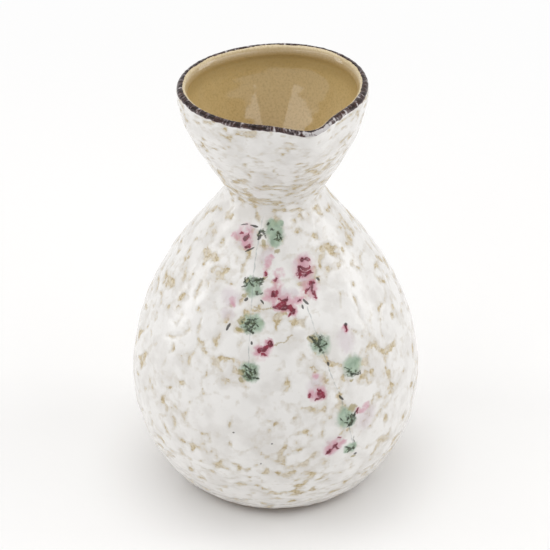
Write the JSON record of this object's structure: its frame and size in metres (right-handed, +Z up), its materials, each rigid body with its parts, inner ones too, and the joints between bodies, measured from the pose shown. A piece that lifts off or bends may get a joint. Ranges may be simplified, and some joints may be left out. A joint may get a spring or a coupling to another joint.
{
  "type": "sake pitcher",
  "caption": "Small stoneware sake pitcher with a full belly, a narrow waist and a flared mouth pinched into a pouring lip.",
  "frame": {"origin": "centre of the foot on the table", "axes": "+Z up along the pot's axis, the pouring lip towards -Y"},
  "size_m": [0.086, 0.086, 0.1298],
  "materials": {
    "clay": "bare fired stoneware, matt, fine turning marks",
    "outer_glaze": "thick glossy white glaze, crawled into soft lumps over tan clay, with loose sprays of leaves and blossom",
    "inner_glaze": "smooth glossy tan glaze with a fine crackle",
    "rim_glaze": "glossy iron-brown glaze, wrinkled"
  },
  "bodies": {
    "root": {"belly_clay": "clay", "mouth_clay": "clay", "foot_ring": "clay", "outer_glaze": "outer_glaze", "inner_glaze": "inner_glaze", "rim_glaze": "rim_glaze"}
  },
  "joints": []
}
